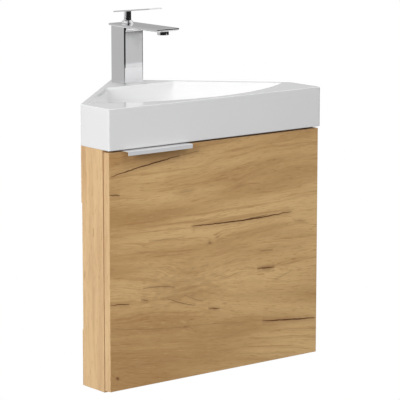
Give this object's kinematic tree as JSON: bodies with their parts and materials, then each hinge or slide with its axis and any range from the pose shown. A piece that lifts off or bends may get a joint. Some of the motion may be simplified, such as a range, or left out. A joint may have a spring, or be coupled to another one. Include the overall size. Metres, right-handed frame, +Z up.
{
  "type": "corner vanity unit",
  "caption": "Wall-hung corner washbasin with a slim single-lever mixer tap, on a shallow wood-grain cabinet with a full-width door and an edge pull.",
  "frame": {"origin": "on the line where the room's two walls meet, level with the cabinet's underside", "axes": "+Z up; +Y into the corner of the room, the door faces -Y; +X to the right as seen from the front; the walls are the planes y = x and y = -x"},
  "size_m": [0.48, 0.337, 0.6503],
  "materials": {
    "mineral_white": "gloss",
    "chrome": "polished",
    "light_oak": "satin, printed light oak",
    "light_oak_edge": "satin edge band",
    "rustic_oak": "satin, rustic oak with knots and cracks",
    "rustic_oak_edge": "satin edge band",
    "satin_aluminium": "satin anodised",
    "black_rubber": "matte",
    "clear_rubber": "matte",
    "ivory_plastic": "matte",
    "grey_plastic": "matte",
    "white_plastic": "matte",
    "brass": "turned",
    "zinc_steel": "zinc plated",
    "nickel_steel": "nickel plated",
    "beech": "plain"
  },
  "bodies": {
    "unit": {"basin": "mineral_white", "tap_body": "chrome", "tap_spout": "chrome", "tap_collar": "chrome", "tap_cartridge": "ivory_plastic", "aerator_shell": "chrome", "aerator_insert": "grey_plastic", "aerator_seal": "black_rubber", "inlet_sockets": "brass", "tap_base_seal": "black_rubber", "tap_stud": "zinc_steel", "tap_clamp_rubber": "black_rubber", "tap_clamp_plate": "zinc_steel", "tap_clamp_nut": "brass", "waste_body": "chrome", "waste_seal_upper": "clear_rubber", "waste_seal_lower": "black_rubber", "waste_nut": "chrome", "click_housing": "ivory_plastic", "side_left": "light_oak", "side_right": "light_oak", "bottom_panel": "light_oak", "front_stretcher": "light_oak", "rail_top_left": "light_oak", "rail_top_right": "light_oak", "rail_bottom_left": "light_oak", "rail_bottom_right": "light_oak", "rail_screws": "zinc_steel", "dowels": "beech", "cam_housings": "zinc_steel", "cam_bolts": "zinc_steel", "carcass_edge_bands": "light_oak_edge", "hinge_arm_upper": "nickel_steel", "hinge_arm_lower": "nickel_steel", "hinge_plate_upper": "nickel_steel", "hinge_plate_lower": "nickel_steel", "hinge_plate_screws": "zinc_steel", "hinge_arm_screws": "zinc_steel"},
    "door": {"door": "rustic_oak", "door_edge_bands": "rustic_oak_edge", "handle": "satin_aluminium", "handle_screws": "zinc_steel", "door_bumpers": "white_plastic", "hinge_cup_upper": "nickel_steel", "hinge_cup_lower": "nickel_steel", "hinge_pins": "zinc_steel", "hinge_cup_screws": "zinc_steel"},
    "lever_swivel": {"stem_guide": "grey_plastic"},
    "lever": {"lever": "chrome", "lever_spindle": "brass", "lever_grub_screw": "zinc_steel"},
    "plug": {"waste_plug": "chrome", "plug_seal": "black_rubber"}
  },
  "joints": [
    {"name": "door_hinge", "type": "hinge", "parent": "unit", "child": "door", "pos_m": [0.2313, -0.315, 0.21625], "axis": [0, 0, 1], "range_deg": [0, 95]},
    {"name": "tap_swivel", "type": "hinge", "parent": "unit", "child": "lever_swivel", "pos_m": [0, -0.0535, 0.6215], "axis": [0, 0, 1], "range_deg": [-45, 45]},
    {"name": "tap_lift", "type": "hinge", "parent": "lever_swivel", "child": "lever", "pos_m": [0, -0.0535, 0.6215], "axis": [-1, 0, 0], "range_deg": [0, 10]},
    {"name": "plug_slide", "type": "slide", "parent": "unit", "child": "plug", "axis": [0, 0, 1], "range_m": [0, 0.009]}
  ]
}
